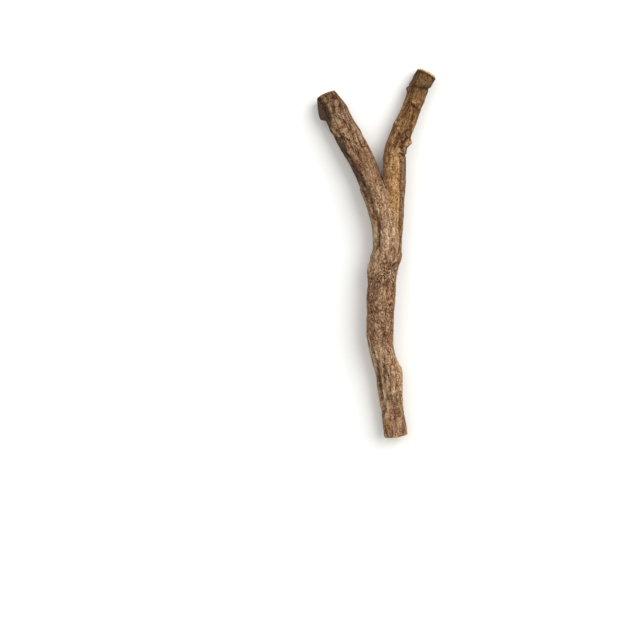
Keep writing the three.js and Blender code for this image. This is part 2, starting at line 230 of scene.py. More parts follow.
def cast_to_skin(centre, direction):
    """Marches out from the centre, each step as long as the distance that is left to the skin."""
    reach = np.full(direction.shape[:-1] + (1,), 0.5)
    for _ in range(MARCH_STEPS):
        reach -= skin_distance(centre + direction * reach)[..., None]
    return centre + direction * reach


def skin_normal(p):
    """Direction in which the distance grows fastest, from its differences over 0.1 mm."""
    steps = np.eye(3) * 0.05
    return unit(np.stack([skin_distance(p + s) - skin_distance(p - s) for s in steps], axis=-1))


def frame_of(along):
    """Level vector square to a limb, and the vector square to both."""
    right = unit(np.cross(along, (0, 0, 1)))
    return right, np.cross(right, along)


def ring_plane(limb, y, cut_y, cut_look):
    """A ring square to the limb, turned to the plane of the cut over the last stretch before it."""
    centre, _, along, _ = at_height(limb, y)
    look = unit(np.array(cut_look, float)) * np.sign(np.dot(cut_look, along.reshape(-1, 3)[0]))
    share = (1 - ease(np.abs(y - cut_y), 0, CUT_TURN))[..., None]
    return centre, *frame_of(unit(along * (1 - share) + look * share))


def neck_at(y):
    """Point between the two centres that is as far from one skin as from the other, by halving."""
    in_main, in_side = at_height(main, y)[0], at_height(side, y)[0]
    for _ in range(HALVINGS):
        half = (in_main + in_side) / 2
        nearer = (limb_distance(main, half) < limb_distance(side, half))[..., None]
        in_main, in_side = np.where(nearer, half, in_main), np.where(nearer, in_side, half)
    return in_main


heights = np.arange(*CROTCH_Y, SEARCH_STEP)
crotch_y = heights[np.argmax(skin_distance(neck_at(heights)) >= 0)]
trunk_top = crotch_y - CROTCH_DROP


def trunk_plane(y):
    """Rings of the trunk. Near the crotch each is folded on an upright line, so that its left half
    stands square to the left branch and its right half to the right one."""
    joined = ease(y, *JOINED_Y)[..., None]
    m, m_radius, m_along, _ = at_height(main, y)
    s, s_radius, s_along, _ = at_height(side, y)
    united = (m + s) / 2
    united[..., 0] = (m[..., 0] - m_radius + s[..., 0] + s_radius) / 2
    united[..., 1] = m[..., 1]
    centre = m * (1 - joined) + united * joined
    neck_share = ease(y, *NECK_Y)[..., None]
    centre = np.where(neck_share > 0, centre * (1 - neck_share) + neck_at(y) * neck_share, centre)
    _, plain_right, plain_up = ring_plane(main, y, FOOT_Y, FOOT_LOOK)
    straight_right, straight_up = frame_of(np.array([0.0, 1.0, 0.0]))
    fold = ease(y, NECK_Y[0], trunk_top)[..., None]
    level = unit(plain_right * (1 - joined) + straight_right * joined)
    right = unit(level * (1 - fold) + frame_of(s_along)[0] * fold)
    left = unit(level * (1 - fold) + frame_of(m_along)[0] * fold)
    return centre, right, left, unit(plain_up * (1 - joined) + straight_up * joined)


def cast_rings(centre, right, left, up, angles):
    """Grid of skin points: one row for each plane and one column for each angle, in degrees."""
    c, s = np.cos(np.radians(angles))[..., None], np.sin(np.radians(angles))[..., None]
    sideways = np.where(c < 0, left[:, None], right[:, None])
    centres = np.broadcast_to(centre[:, None], sideways.shape[:1] + c.shape[-2:-1] + (3,))
    return cast_to_skin(centres, unit(sideways * c + up[:, None] * s)), centres


def evenly(low, high, step):
    """Heights from low to high, both included, about a step apart."""
    return np.linspace(low, high, round((high - low) / step) + 1)


trunk_y = evenly(FOOT_Y, trunk_top, RING_STEP)
trunk_angles = np.arange(AROUND) * 360 / AROUND
trunk, trunk_centres = cast_rings(*trunk_plane(trunk_y), trunk_angles)

# The bridge over the crotch: a fan of points from the valley above, over the saddle, to the one below.
top_centre, _, _, top_up = (v[0] for v in trunk_plane(np.array([trunk_top])))
ahead = unit(neck_at(np.array([crotch_y]))[0] - top_centre)
turn = (np.arange(1, OVER_CROTCH) * math.pi / OVER_CROTCH)[:, None]
bridge = cast_to_skin(top_centre, unit(ahead * np.sin(turn) + top_up * np.cos(turn)))
saddle = bridge[OVER_CROTCH // 2 - 1]


def grow_branch(limb, start, cut_y, cut_look, middle_angle):
    """Rows between the start ring and the branch's first ring, then rings to the cut. The columns
    start at the angles of the start ring and then spread evenly."""
    y = start[:, 1].min()
    while True:
        centre, _, along, _ = at_height(limb, y)
        if np.dot(saddle - centre, along) <= -CROTCH_CLEARANCE:
            break
        y += SEARCH_STEP
    rows = evenly(y, cut_y, RING_STEP)
    centre, right, up = ring_plane(limb, rows, cut_y, cut_look)
    arm = start - centre[0]
    start_angles = np.degrees(np.arctan2(arm @ up[0], arm @ right[0]))
    even_angles = middle_angle + 360 * (np.arange(len(start)) - AROUND / 4) / len(start)
    gap = (start_angles - even_angles + 180) % 360 - 180
    angles = even_angles + gap * (1 - ease(rows, y, y + COLUMN_SPREAD))[:, None]
    rings, centres = cast_rings(centre, right, right, up, angles)
    share = (np.arange(1, ROWS_BETWEEN + 1) / (ROWS_BETWEEN + 1))[:, None, None]
    between = start * (1 - share) + rings[0] * share
    for _ in range(4):
        between = between - skin_normal(between) * skin_distance(between)[..., None]
    angles = np.vstack([np.repeat(angles[:1], ROWS_BETWEEN, axis=0), angles]) % 360
    centres = np.concatenate([np.broadcast_to(centre[0], between.shape), centres])
    return np.concatenate([between, rings]), centres, angles


quarter = AROUND // 4
trunk_end = trunk[-1]
left_start = np.vstack([trunk_end[quarter : 3 * quarter + 1], bridge[::-1]])
right_start = np.vstack([trunk_end[3 * quarter :], trunk_end[: quarter + 1], bridge])
left, left_centres, left_angles = grow_branch(main, left_start, LEFT_Y, LEFT_LOOK, 180)
right, right_centres, right_angles = grow_branch(side, right_start, RIGHT_Y, RIGHT_LOOK, 0)


# The bark's large forms, the same as in the solid.
def tube_noise(turn, cells, along, seed):
    """Smooth noise from -1 to 1 on a tube with a whole number of cells round it: a fixed random number
    on each corner of a lattice, blended with 3t^2 - 2t^3."""
    u = (turn - np.floor(turn)) * cells
    i, j = np.floor(u), np.floor(along)
    fu, fv = ease(u - i, 0, 1), ease(along - j, 0, 1)

    def corner(a, b):
        """The part after the point of sin(127.1 a + 311.7 b + 74.7 seed) * 43758.5453."""
        n = np.sin((a % cells) * 127.1 + b * 311.7 + seed * 74.7) * 43758.5453
        return n - np.floor(n)

    low = corner(i, j) * (1 - fu) + corner(i + 1, j) * fu
    high = corner(i, j + 1) * (1 - fu) + corner(i + 1, j + 1) * fu
    return 2 * (low * (1 - fv) + high * fv) - 1


def sector(angle, middle, width):
    """Bell round the limb, centred on an angle."""
    return bell(np.abs((angle - middle + 540) % 360 - 180), 0, width)


def furrows(angle, y, seed):
    """Ridged noise stretched along the limb, at two pitches, and a broad swelling."""
    turn = angle / 360 + 0.02 * np.sin(y / 17)
    coarse = 1 - 2 * np.abs(tube_noise(turn, 10, y / 15, seed))
    fine = 1 - 2 * np.abs(tube_noise(turn, 17, y / 9, seed + 1))
    return 0.34 * coarse + 0.18 * fine + 0.3 * tube_noise(turn, 4, y / 21, seed + 2)


# Long grooves on the upper side: depth, width and the [x, y] points of each.
GROOVES = [
    (0.75, 0.9, [(-8, 94), (-8.8, 107), (-11.6, 117), (-15.9, 127), (-23.8, 147.5)]),
    (0.4, 0.6, [(1.9, 96), (2.1, 108), (2.3, 122), (2.3, 138)]),
    (0.35, 0.6, [(-6.6, 24), (-7.6, 36), (-9, 42)]),
    (0.4, 0.7, [(-3.2, 14), (-4.9, 26), (-5.6, 38)]),
]


def grooves(x, y, facing):
    """Bell-shaped grooves round lines, on the upper side, that fade over 4 mm at their ends."""
    height = np.zeros_like(x)
    for depth, width, line in GROOVES:
        xs, ys = np.array(line, float).T
        fade = ease(y, ys[0] - 2, ys[0] + 2) * (1 - ease(y, ys[-1] - 2, ys[-1] + 2))
        height -= depth * fade * bell(x, np.interp(y, ys, xs), width) * (facing >= 0)
    return height


def trunk_joints(x, y, angle, facing):
    """Shoulders, the swollen joint at 85 mm and its crack, as sums of sectors, eases and bells."""
    height = 0.8 * sector(angle, 0, 38) * ease(y, 18, 33) * (1 - ease(y, 34.4, 36.4))
    height += 0.55 * sector(angle, 180, 55) * ease(y, 76, 84) * (1 - ease(y, 85.4, 87.2))
    height += 0.3 * sector(angle, 180, 40) * bell(y, 90.5, 2)
    height -= 0.45 * sector(angle, 180, 60) * bell(y, 94.6, 2.4)
    height += 0.2 * sector(angle, 0, 45) * ease(y, 86.4, 88) * (1 - ease(y, 90, 94))
    height -= 0.5 * sector(angle, 0, 50) * bell(y, 84.5, 3)
    height -= 0.5 * bell(x, -0.6, 2.4) * bell(y, 86.3 + 0.35 * x, 0.9) * (facing > 0)
    height -= 0.4 * sector(angle, 140, 90) * bell(y, 12.6, 1.1)
    height -= 0.22 * bell(y, 76.5, 2.2) + 0.3 * sector(angle, 150, 60) * bell(y, 62, 1.2)
    return height + 0.3 * sector(angle, 280, 70) * bell(y, 50, 4)


def left_joints(x, y, angle, facing):
    """The cut-off stub on the left tip's outer side, and a low ring under it."""
    height = 2.6 * sector(angle, 185, 40) * ease(y, 158.2, 160) * (1 - ease(y, 161.4, 175))
    return height + 0.35 * bell(y, 153, 1.6) - 0.45 * bell(y, 150.6, 1.2) * sector(angle, 120, 70)


def right_joints(x, y, angle, facing):
    """The ring under the right tip with its crease and knob, the lip of a crack, and a bump."""
    crease = 175 - 0.14 * (x - 11)
    height = 0.3 * ease(y - crease, 0, 1.5) - 0.45 * bell(y, crease, 0.9)
    height += 1.3 * sector(angle, 172, 34) * bell(y, 174.6, 1.5)
    height -= 0.4 * sector(angle, 180, 50) * bell(y, 178.6, 1.8)
    lip = 165.2 + 0.25 * np.abs(x - 10.5)
    height += sector(angle, 55, 50) * (0.5 * bell(y, lip + 1.4, 1.5) - 0.55 * bell(y, lip - 0.7, 1.1))
    return height + 0.6 * sector(angle, 12, 26) * bell(y, 147.5, 2)


# Knots and scars of rootlets: x, y, on the upper side or not, size, the rim's height, the pit's depth.
SCARS = [
    (-6.6, 52.5, True, 2.3, 0.4, 0.75),
    (-3.4, 65.6, True, 1.3, 0.1, 0.6),
    (4.1, 147.4, True, 2.2, 0.55, 0.7),
    (2.9, 142.6, True, 1.7, 0.5, 0.8),
    (-27.3, 153.8, True, 2.0, 0.25, 0.5),
    (-3, 28, False, 2.2, 0.5, 0.6),
    (-9.5, 68, False, 2.0, 0.45, 0.6),
    (-12, 131, False, 1.8, 0.45, 0.5),
    (3.4, 156, False, 1.6, 0.4, 0.5),
]


def scars(x, y, facing):
    """A raised ring round a pit, both bells of the distance from the scar's middle."""
    height = np.zeros_like(x)
    for sx, sy, upper, size, rim, pit in SCARS:
        away = np.hypot(x - sx, y - sy) / size
        height += (rim * bell(away, 1, 0.45) - pit * bell(away, 0, 0.5)) * ((facing > 0) == upper)
    return height


def large_forms(points, centres, angle, seed, joints, calm):
    """All large forms, faded near the crotch."""
    x, y, facing = points[..., 0], points[..., 1], points[..., 2] - centres[..., 2]
    height = furrows(angle, y, seed) + grooves(x, y, facing) + joints(x, y, angle, facing)
    return calm * (height + scars(x, y, facing))


def branch_calm(points):
    """How much of the relief a branch has: 0.6 of its fade at the first rows, all of it 6 mm on."""
    rows = np.ones(len(points))
    rows[:ROWS_BETWEEN] = 0.6
    return rows[:, None] * (0.4 + 0.6 * ease(points[..., 1], saddle[1] - 1, saddle[1] + 6))


trunk_turn = np.broadcast_to(trunk_angles, trunk.shape[:2])
trunk_form = large_forms(trunk, trunk_centres, trunk_turn, 1, trunk_joints, 1)
left_form = large_forms(left, left_centres, left_angles, 1, left_joints, branch_calm(left))
right_form = large_forms(right, right_centres, right_angles, 5, right_joints, branch_calm(right))

points = np.vstack([trunk.reshape(-1, 3), bridge, left.reshape(-1, 3), right.reshape(-1, 3)])
no_form = np.zeros(len(bridge))
form = np.concatenate([trunk_form.ravel(), no_form, left_form.ravel(), right_form.ravel()])
centres = np.vstack(
    [
        trunk_centres.reshape(-1, 3),
        np.broadcast_to(top_centre, bridge.shape),
        left_centres.reshape(-1, 3),
        right_centres.reshape(-1, 3),
    ]
)
facing = points[:, 2] - centres[:, 2]
normals = skin_normal(points)
first_bridge = trunk.shape[0] * AROUND
first_left = first_bridge + len(bridge)
first_right = first_left + left.shape[0] * left.shape[1]
trunk_index = np.arange(first_bridge).reshape(trunk.shape[:2])
bridge_index = np.arange(first_bridge, first_left)
left_index = np.arange(first_left, first_right).reshape(left.shape[:2])
right_index = np.arange(first_right, len(points)).reshape(right.shape[:2])


# The bark's own coordinates: across, along and above the nearest limb's centreline, so that a pattern
# runs along each branch. Both limbs' coordinates agree at one height under the fork.
GRAIN_JOINED_Y = 108


def limb_coordinates(limb, p):
    """Offset from the centreline in the limb's level and upper directions, and length along it."""
    centre, _, along, length = nearest_on(limb, p)
    right, up = frame_of(along)
    offset = p - centre
    return np.stack([np.sum(offset * right, -1), length, np.sum(offset * up, -1)], axis=-1)


nearer_side = limb_distance(main, points) - limb_distance(side, points)
side_share = ease(nearer_side, -0.6, 0.6)[:, None]
join_main, join_side = at_height(main, GRAIN_JOINED_Y), at_height(side, GRAIN_JOINED_Y)
join_right, join_up = frame_of(join_main[2])
step_over = join_side[0] - join_main[0]
shift = np.array([step_over @ join_right, join_main[3] - join_side[3], step_over @ join_up])
grain = limb_coordinates(main, points) * (1 - side_share)
grain += (limb_coordinates(side, points) + shift) * side_share


def noise(p, seed):
    """Gradient noise, about -1 to 1: a fixed random slope on each corner of a unit lattice, blended
    with 6t^5 - 15t^4 + 10t^3. The corner's whole numbers are multiplied and folded into 32 bits, and
    the low and high halves of those give the slope's direction."""
    cell = np.floor(p).astype(np.int64)
    f = p - cell
    blend = f * f * f * (f * (f * 6 - 15) + 10)
    total = np.zeros(len(p))
    for corner in np.ndindex(2, 2, 2):
        i, j, k = (cell + corner).T
        h = (i * 374761393 + j * 668265263 + k * 1274126177 + seed * 40503) & 0xFFFFFFFF
        h = ((h ^ (h >> 13)) * 1103515245) & 0xFFFFFFFF
        h = ((h ^ (h >> 15)) * 668265263) & 0xFFFFFFFF
        azimuth, rise = (h & 0xFFFF) / 65536 * 2 * math.pi, (h >> 16) / 32768 - 1
        level = np.sqrt(1 - rise * rise)
        slope = np.stack([level * np.cos(azimuth), level * np.sin(azimuth), rise], axis=-1)
        weight = np.prod(np.where(corner, blend, 1 - blend), axis=-1)
        total += weight * np.sum(slope * (f - corner), axis=-1)
    return total * 1.6


def folded(p, size, stretch, seed):
    """2.2 |noise|, with cells `size` mm wide across the limb and `stretch` times that along it."""
    return 2.2 * np.abs(noise(p / (size, size * stretch, size), seed))


def ridges(p, size, stretch, seed):
    """1 - folded noise: sharp ridges."""
    return 1 - folded(p, size, stretch, seed)


def fissures(p, size, stretch, seed):
    """Folded noise, up to 1, to the power 0.6: rounded ridges with sharp furrows between them."""
    return np.clip(folded(p, size, stretch, seed), 0, 1) ** 0.6


wide = grain / (5, 9, 5)
wander = np.stack([noise(wide, 11), np.zeros(len(grain)), noise(wide, 12)], axis=-1)
curl = np.stack([noise(grain / 2.3, seed) for seed in (14, 15, 16)], axis=-1)
x, y = points[:, 0], points[:, 1]
straight = side_share * (0.35 + 0.65 * ease(y, 136, 156)[:, None])
warped = grain + (0.9 * wander + 0.25 * curl) * (1 - 0.7 * straight)
upper = facing > 0

# Where the bark is wormy and pebbled instead of furrowed, and where it was rubbed smooth.
wormy = ease(y, 42, 50) * (1 - ease(y, 85, 92))
wormy *= 1 - 0.5 * ease(noise(grain / 8, 13), 0.1, 0.4)
rubbed = side_share[:, 0] * ease(y, 92, 104) * (1 - ease(y, 134, 142))

furrow = fissures(warped, 2.1, 8.0, 21)
split = fissures(warped, 1.05, 6.5, 22)
wrinkle = ridges(warped, 0.75, 2.6, 23)
thread = ridges(warped, 0.5, 2.0, 28)
worm = np.maximum(ridges(grain + 0.7 * curl, 0.95, 1.2, 24), 0.1) ** 1.6
flake = noise(grain / (1.6, 3.2, 1.6), 25)
cross_cracks = bell(noise(grain / (4.5, 1.1, 4.5), 26), 0, 0.07)
cross_cracks *= ease(noise(grain / 3.5, 27), 0.05, 0.35)

smooth_share = 1 - 0.6 * straight[:, 0]
lengthwise = smooth_share * (0.16 * furrow + 0.1 * split) + 0.08 * wrinkle + 0.06 * thread
crinkled = 0.05 * furrow + 0.24 * worm + 0.05 * wrinkle + 0.06 * thread
detail = (1 - wormy) * lengthwise + wormy * crinkled + 0.07 * flake - 0.16 * cross_cracks
detail = detail - detail.mean()
detail *= 1 - 0.3 * np.maximum(rubbed, straight[:, 0])


# Marks that are seen from above: cracks and folds as lines, and lumps, pits and stains as spots.
def line_distance(x, y, line):
    """Distance in plan from each point to the nearest segment of a line."""
    nearest = np.full(len(x), np.inf)
    for (ax, ay), (bx, by) in zip(line, line[1:]):
        dx, dy = bx - ax, by - ay
        t = np.clip(((x - ax) * dx + (y - ay) * dy) / (dx * dx + dy * dy), 0, 1)
        nearest = np.minimum(nearest, np.hypot(x - ax - t * dx, y - ay - t * dy))
    return nearest


# height, width, darkness and the [x, y] points of each line. A sunken line's darkness is partly
# painted shade in its crack or groove, and partly the bark's own dark.
LINES = [
    (-0.35, 0.4, 0.45, [(6.0, 175.0), (8.6, 174.9), (12.0, 174.2), (14.5, 173.9)]),
    (-0.45, 0.45, 0.95, [(13.6, 174.0), (16.4, 173.6)]),
    (-0.6, 0.33, 1.2, [(8.0, 165.7), (9.2, 165.1), (10.9, 163.9)]),
    (-0.25, 0.4, 0.5, [(8.8, 164.9), (10.2, 164.0)]),
    (-0.25, 0.3, 0.6, [(11.3, 162.5), (12.7, 163.9)]),
    (0.4, 0.65, -0.5, [(8.2, 166.9), (10.0, 166.0), (11.9, 165.0)]),
    (0.25, 0.5, -0.35, [(8.1, 162.9), (7.0, 158.6), (5.9, 154.2)]),
    (0.25, 0.5, -0.35, [(10.1, 162.4), (9.2, 157.2), (8.4, 152.7)]),
    (-0.3, 0.4, 0.45, [(9.1, 162.8), (8.1, 158.0), (7.2, 153.5)]),
    (-0.25, 0.4, 0.4, [(7.0, 163.0), (5.9, 158.6), (4.8, 154.5)]),
    (-0.3, 0.35, 0.7, [(3.0, 150.6), (4.4, 151.8), (5.8, 153.0)]),
    (-0.3, 0.35, 0.7, [(8.3, 152.0), (7.7, 149.1)]),
    (-0.35, 0.35, 0.8, [(2.0, 148.0), (2.9, 146.4), (4.6, 146.2)]),
    (-0.5, 0.5, 1.1, [(1.9, 141.2), (3.2, 140.1), (4.8, 140.6)]),
    (-0.4, 0.35, 0.9, [(5.3, 152.4), (4.7, 150.3), (5.4, 149.2)]),
    (-0.35, 0.35, 0.9, [(2.6, 146.4), (4.0, 147.0), (5.1, 148.6)]),
    (0.0, 0.45, 0.5, [(11.9, 182.7), (13.2, 181.8), (15.8, 181.0), (17.1, 180.2), (19.4, 178.6)]),
    (-0.4, 0.45, 0.8, [(-3.3, 84.5), (-1.8, 85.2), (-0.3, 86.4)]),
    (0.3, 0.5, -0.3, [(-2.9, 86.0), (-1.3, 86.8), (-0.4, 88.2)]),
    (-0.3, 0.4, 0.5, [(-12.6, 62.3), (-11.3, 62.5), (-9.8, 62.1)]),
    (-0.45, 0.5, 0.8, [(-29.5, 152.7), (-27.9, 153.6), (-26.4, 154.2)]),
    # Painted shade: the long dark line where the left branch's upper side turns away, with the next
    # line.
    (-0.4, 0.6, 0.55, [(-26.9, 148.7), (-22.5, 138.8), (-20, 134.2), (-16, 126.7), (-12.1, 116.5)]),
    (-0.4, 0.5, 0.5, [(-12.1, 116.5), (-9.3, 107.8), (-8.3, 95.3)]),
    (-0.3, 0.4, 0.5, [(1.9, 138.0), (2.2, 128.0), (2.1, 118.0), (1.6, 104.0), (1.5, 94.0)]),
    # Painted shade: the dark strip along the trunk's left edge.
    (-0.35, 0.55, 0.5, [(-9.4, 38.2), (-7.9, 25.8), (-5.9, 18.2), (-4.9, 13.2)]),
    (0.2, 0.75, -0.4, [(-7.7, 39.8), (-6.7, 24.8), (-4.8, 17.8), (-3.6, 11.2)]),
    (-0.3, 0.45, 0.5, [(-6.3, 36.5), (-5.6, 26.0), (-4.2, 18.2)]),
    (0.2, 0.55, -0.25, [(-5.2, 38.2), (-4.4, 26.0), (-3.6, 14.2)]),
    (-0.25, 0.4, 0.45, [(-2.9, 36.0), (-2.8, 26.0), (-2.2, 14.0)]),
    (-0.2, 0.4, 0.2, [(-7.0, 12.4), (-3.5, 12.0), (-0.5, 11.6), (2.0, 11.9)]),
    (-0.3, 0.45, 0.8, [(-7.8, 132.0), (-6.6, 128.0), (-5.6, 124.0)]),
]
# x, y, half widths across and along, height, darkness, rust, paleness. A sunken spot's darkness is
# partly painted shade in its pit.
SPOTS = [
    (1.3, 150.9, 0.7, 0.6, -0.5, 0.9, 0.0, 0.0),
    (3.6, 148.0, 0.8, 0.8, 0.45, -0.15, 0.95, 0.05),
    (5.3, 150.9, 0.6, 0.9, 0.35, -0.1, 0.8, 0.05),
    (2.4, 149.3, 0.6, 0.6, -0.4, 0.9, 0.0, 0.0),
    (6.5, 147.4, 1.1, 1.1, 0.5, -0.2, 0.95, 0.0),
    (4.9, 146.0, 1.0, 0.8, 0.45, -0.2, 0.95, 0.0),
    (2.5, 144.3, 1.0, 0.8, -0.6, 0.95, 0.4, 0.0),
    (4.0, 143.5, 0.65, 0.7, 0.45, -0.25, 1.0, 0.0),
    (2.0, 142.2, 0.7, 0.8, 0.25, -0.15, 0.5, 0.1),
    (7.4, 149.1, 0.5, 0.5, -0.4, 0.9, 0.0, 0.0),
    (8.5, 151.2, 0.6, 0.9, 0.25, -0.1, 0.5, 0.0),
    (11.2, 182.0, 1.3, 1.1, 0.0, 0.45, 0.0, 0.0),
    (0.45, 156.9, 0.5, 0.55, 0.2, -0.1, 0.0, 1.0),
    (1.2, 153.6, 0.6, 0.7, 0.15, -0.15, 0.1, 0.4),
    (2.0, 152.5, 0.4, 0.35, 0.1, -0.1, 0.1, 0.45),
    (-30.4, 153.5, 1.6, 1.2, 0.15, 0.1, 0.75, 0.0),
    (-26.9, 153.7, 1.8, 1.2, 0.2, 0.0, 0.75, 0.0),
    (-7.65, 132.5, 0.4, 0.5, 0.1, 0.0, 0.0, 1.0),
    (-6.7, 90.4, 0.9, 0.9, 0.15, -0.2, 0.8, 0.0),
    (1.6, 90.3, 0.7, 1.0, 0.0, -0.1, 0.9, 0.0),
    (1.6, 88.0, 0.7, 0.9, -0.2, 0.0, 0.8, 0.0),
    (-8.6, 76.8, 0.9, 0.6, -0.35, 0.7, 0.0, 0.0),
    (-6.8, 75.2, 1.0, 0.5, -0.3, 0.65, 0.0, 0.0),
    (-5.0, 76.8, 0.7, 0.7, -0.3, 0.7, 0.0, 0.0),
    (-3.2, 65.5, 0.8, 0.6, -0.5, 1.2, 0.0, 0.0),
    (-8.2, 64.3, 0.4, 0.4, 0.15, -0.2, 0.0, 0.8),
    (-7.2, 62.0, 0.35, 0.4, 0.15, -0.2, 0.0, 0.8),
    (-7.2, 54.5, 1.0, 0.6, -0.4, 0.75, 0.2, 0.0),
    (-6.2, 51.0, 1.2, 0.9, -0.4, 0.75, 0.2, 0.0),
    (-7.4, 51.6, 0.5, 0.8, 0.3, -0.2, 0.0, 0.1),
    (-8.6, 53.0, 0.6, 0.6, 0.2, -0.1, 0.2, 0.0),
    (0.35, 25.8, 0.55, 0.65, -0.35, 0.9, 0.0, 0.0),
    (-0.4, 29.2, 3.0, 10.0, 0.0, 0.05, 0.3, 0.0),
    (-2.6, 70.0, 2.2, 8.0, 0.0, 0.0, 0.3, 0.0),
    (-3.9, 6.4, 2.0, 3.6, 0.0, 0.14, 0.75, 0.0),
    (-2.6, 5.0, 0.7, 0.9, 0.1, -0.1, 0.5, 0.0),
    (-7.0, 58.0, 7.0, 6.0, 0.0, 0.12, 0.15, 0.0),
]
line_height, dark, rust, pale = (np.zeros(len(points)) for _ in range(4))
broken = 0.75 + 0.5 * noise(grain / (1.2, 2.5, 1.2), 31)
for height, width, darkness, line in LINES:
    # The darkest cracks have the crispest edges.
    ragged = 0.5 if darkness > 0.85 else 1
    away = line_distance(x + 0.22 * ragged * flake, y + 0.18 * ragged * curl[:, 1], line)
    mark = bell(away, 0, width) * upper * np.clip(broken, 1 - 0.55 * ragged, 1.15)
    line_height += height * mark
    dark += darkness * mark
ragged_x, ragged_y = x + 0.5 * noise(grain / 1.3, 32), y + 0.5 * noise(grain / 1.3, 33)
for sx, sy, across, along, height, darkness, rusty, paleness in SPOTS:
    mark = bell(np.hypot((ragged_x - sx) / across, (ragged_y - sy) / along)) * upper
    line_height += height * mark
    dark += darkness * mark
    rust += rusty * mark
    pale += paleness * mark

# Torn bark is lumpy round the right branch's scar, the left branch is a little redder than the trunk,
# and its left flank, past a long edge, gets painted shade that is darker higher up.
SCAR_X, SCAR_Y, SCAR_REACH = 4, 146, 9
torn = np.clip(rust * 1.3, 0, 1) * (np.hypot(x - SCAR_X, y - SCAR_Y) < SCAR_REACH)
rust += 0.16 * (1 - side_share[:, 0]) * ease(y, 112, 132)
detail += torn * (0.16 * noise(grain / 0.9, 34) + 0.1 * ridges(grain, 0.8, 1, 35))
EDGE_LINE = [(-8.3, 95.2), (-12.1, 116.5), (-16, 126.7), (-20, 134.2), (-26.9, 148.7)]
EDGE_LINE += [(-30.9, 151.2), (-31.6, 159.5), (-34.4, 165.4), (-37.2, 170.1)]
edge_x, edge_y = np.array(EDGE_LINE).T
past_edge = np.interp(y, edge_y, edge_x) - x + 0.7 * curl[:, 0] + 0.7 * flake
painted_flank_shade = ease(past_edge, -0.5, 1.3) * (side_share[:, 0] < 0.5)
# Painted shade on the left flank, from about 96 mm up and stronger above 118 mm.
dark += painted_flank_shade * ease(y, 96, 110) * (0.34 + 0.28 * ease(y, 118, 140)) * (facing > -3)

# The relief is low in the crotch, where the skin turns sharply, and the left tip has a flat facet.
calm = np.where((normals[:, 1] > 0.75) & (np.abs(y - saddle[1]) < 4), 0.3, 1)
place = points + normals * (form + (detail + line_height) * calm)[:, None]
bevel_look = unit(np.array(BEVEL_LOOK, float))
past = (place - BEVEL_POINT) @ bevel_look
on_left = np.zeros(len(points), bool)
on_left[first_left:first_right] = True
bevelled = on_left & (past > 0)
place = np.where(bevelled[:, None], place - bevel_look * (past - 0.12 * detail)[:, None], place)


# The right tip's bark is chipped back from its cut plane, so that the wood's edge shows.
CHIP_REACH = 2.5
CHIP_LEAST, CHIP_MOST = 0.1, 1.1
chip_look = unit(np.array(RIGHT_LOOK, float))
short_of = (at_height(side, RIGHT_Y)[0] - place) @ chip_look
chip = 0.45 + 0.45 * noise(grain / (1.6, 9, 1.6), 36) + 0.2 * noise(grain / (0.7, 9, 0.7), 37)
chipped = (np.arange(len(place)) >= first_right) & (short_of < CHIP_REACH)
chip = np.clip(chip, CHIP_LEAST, CHIP_MOST) * (1 - ease(short_of, 0, CHIP_REACH))
place = place - chip_look * np.where(chipped, chip, 0)[:, None]


# The bark's cut rims. Shears crush the bark a little, so the rim is rounded, and the bark stands as a
# ring about a millimetre thick round the wood.
RIM_RINGS = 5
RIM_DEPTH = 1.6


def cut_rim(ring, look):
    """Rings from the skin's last one: worn in over the rim, across the bark's thickness, and down its
    inner side. Also gives the cut's middle, its direction and the bark's inner edge."""
    look = unit(np.array(look, float))
    edge = place[ring]
    middle = edge.mean(axis=0)
    radius = np.linalg.norm(edge - middle, axis=1, keepdims=True)
    share = 1 - BARK_THICKNESS / radius
    rough = noise(np.column_stack([edge[:, :2], np.full(len(edge), 5.0)]) / 0.8, 41)[:, None]
    rings = [
        middle + (edge - middle) * (1 - RIM_WEAR * 0.55) + look * 0.12,
        middle + (edge - middle) * (1 - RIM_WEAR - 0.03) + look * (0.2 + 0.15 * rough),
        middle + (edge - middle) * (share + 0.03) + look * (0.12 + 0.2 * rough),
        middle + (edge - middle) * share - look * 0.3,
        middle + (edge - middle) * share - look * RIM_DEPTH,
    ]
    return np.concatenate(rings), middle, look, middle + (edge - middle) * share


ends = [
    (trunk_index[0], FOOT_LOOK, True),
    (left_index[-1], LEFT_LOOK, False),
    (right_index[-1], RIGHT_LOOK, False),
]
quads, triangles, cuts = [], [], []


def join_rings(lower, upper):
    """Four-cornered faces between two closed rings with the same number of points."""
    return np.stack([lower, upper, np.roll(upper, -1), np.roll(lower, -1)], axis=-1).reshape(-1, 4)


for a, b in zip(trunk_index, trunk_index[1:]):
    quads.append(join_rings(a, b))
trunk_last = trunk_index[-1]
left_first = np.concatenate([trunk_last[quarter : 3 * quarter + 1], bridge_index[::-1]])
right_first = np.concatenate([trunk_last[3 * quarter :], trunk_last[: quarter + 1], bridge_index])
for first, index in ((left_first, left_index), (right_first, right_index)):
    for a, b in zip([first, *index], index):
        quads.append(join_rings(a, b))

all_places = [place]
next_index = len(place)
for ring, look, is_foot in ends:
    rim, middle, direction, inner_edge = cut_rim(ring, look)
    rim_index = next_index + np.arange(len(rim)).reshape(RIM_RINGS, -1)
    hub_index = next_index + len(rim)
    all_places += [rim, (middle - direction * RIM_DEPTH)[None]]
    next_index += len(rim) + 1
    chain = [ring, *rim_index]
    for a, b in zip(chain, chain[1:]):
        quads.append(join_rings(b, a) if is_foot else join_rings(a, b))
    last, following = rim_index[-1], np.roll(rim_index[-1], -1)
    hub = np.full(len(last), hub_index)
    triangles.append(np.stack([last, following, hub] if is_foot else [following, last, hub], axis=-1))
    cuts.append((inner_edge, middle, direction, is_foot))
    source = np.concatenate([np.tile(ring, RIM_RINGS), ring[:1]])
    fields = (grain, side_share, form, detail, line_height, dark, rust, pale)
    fields = (np.concatenate([values, values[source]]) for values in fields)
    grain, side_share, form, detail, line_height, dark, rust, pale = fields


